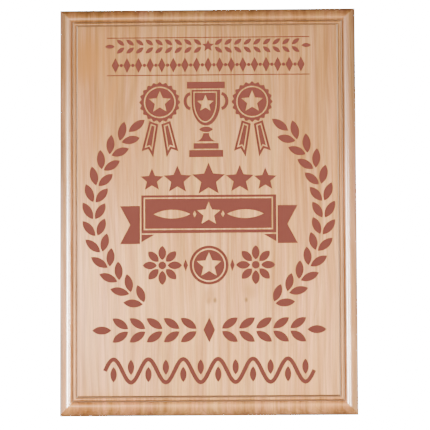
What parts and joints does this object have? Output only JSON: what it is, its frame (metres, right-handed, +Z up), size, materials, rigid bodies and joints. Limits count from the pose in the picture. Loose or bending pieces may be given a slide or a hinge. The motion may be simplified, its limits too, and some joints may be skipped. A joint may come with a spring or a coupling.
{
  "type": "wall plaque",
  "caption": "Upright rectangular wooden wall plaque with a moulded edge, an engraved front, a sawtooth hanger and wall bumpers.",
  "frame": {"origin": "on the plane of the wall that the bumpers touch, level with the middle notch of the sawtooth hanger, where the wall nail bears", "axes": "+Y towards the wall, so the front faces -Y; +X to the right as seen from the front; +Z up"},
  "size_m": [0.2032, 0.0224, 0.2794],
  "materials": {
    "lacquered_alder": "sanded alder under clear satin lacquer",
    "zinc_plated_steel": "bright zinc plate",
    "bumper_rubber": "matt black polyurethane rubber"
  },
  "bodies": {
    "root": {"stave_left": "lacquered_alder", "stave_mid_left": "lacquered_alder", "stave_mid_right": "lacquered_alder", "stave_right": "lacquered_alder", "sawtooth_hanger": "zinc_plated_steel", "hanger_nail_left": "zinc_plated_steel", "hanger_nail_right": "zinc_plated_steel", "bumper_top_left": "bumper_rubber", "bumper_top_right": "bumper_rubber", "bumper_bottom_left": "bumper_rubber", "bumper_bottom_right": "bumper_rubber"}
  },
  "joints": []
}
